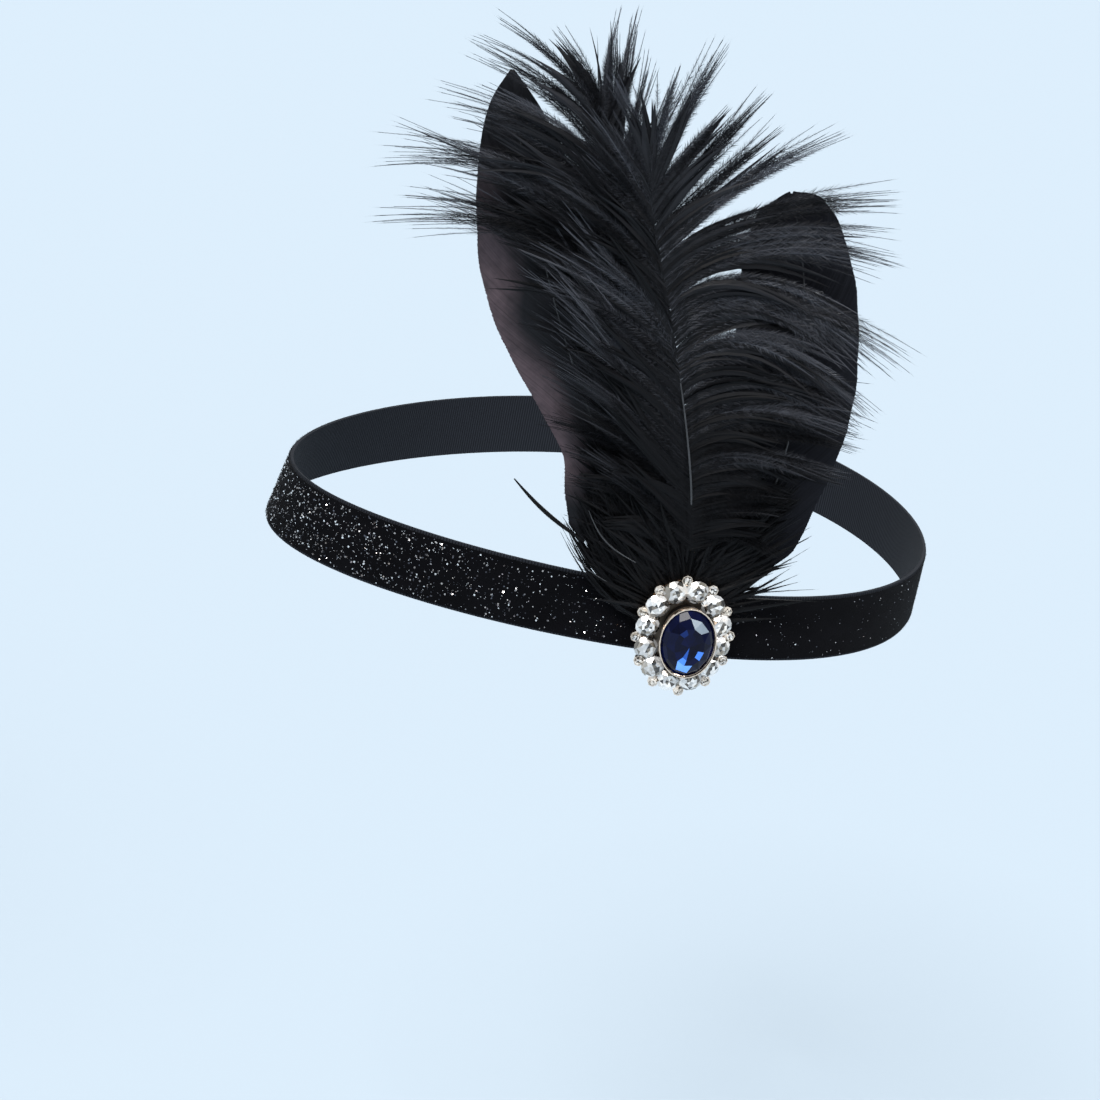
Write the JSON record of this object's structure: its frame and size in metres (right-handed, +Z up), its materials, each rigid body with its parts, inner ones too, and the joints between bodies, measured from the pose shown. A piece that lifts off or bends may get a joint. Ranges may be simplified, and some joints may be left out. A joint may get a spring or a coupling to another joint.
{
  "type": "feather flapper headband",
  "caption": "Glitter velvet elastic headband with goose feathers and ostrich plumes behind an oval stone-set brooch.",
  "frame": {"origin": "middle of the head opening, half way up the band", "axes": "+Z up along the opening's axis, -Y towards the wearer's front, +X towards the wearer's left, where the brooch sits"},
  "size_m": [0.1804, 0.2063, 0.19],
  "materials": {
    "velvet": "black velvet pile with silver glitter, plain dark elastic inside",
    "goose": "black dyed goose feather, brown-grey where it thins at its edge",
    "ostrich": "black dyed ostrich barbs, soft sheen",
    "rose_gold": "pale rose gold plate, polished",
    "sapphire_glass": "dark blue faceted glass, foiled behind",
    "clear_glass": "clear faceted glass, foiled behind"
  },
  "bodies": {
    "root": {"band": "velvet", "goose_feather_front": "goose", "goose_feather_rear": "goose", "ostrich_plume_back": "ostrich", "ostrich_plume_front": "ostrich", "brooch_setting": "rose_gold", "centre_stone": "sapphire_glass", "halo_stone_01": "clear_glass", "halo_stone_02": "clear_glass", "halo_stone_03": "clear_glass", "halo_stone_04": "clear_glass", "halo_stone_05": "clear_glass", "halo_stone_06": "clear_glass", "halo_stone_07": "clear_glass", "halo_stone_08": "clear_glass", "halo_stone_09": "clear_glass", "halo_stone_10": "clear_glass", "halo_stone_11": "clear_glass", "halo_stone_12": "clear_glass", "accent_stone_01": "clear_glass", "accent_stone_02": "clear_glass", "accent_stone_03": "clear_glass", "accent_stone_04": "clear_glass", "accent_stone_05": "clear_glass", "accent_stone_06": "clear_glass", "accent_stone_07": "clear_glass", "accent_stone_08": "clear_glass", "accent_stone_09": "clear_glass", "accent_stone_10": "clear_glass", "accent_stone_11": "clear_glass", "accent_stone_12": "clear_glass"}
  },
  "joints": []
}
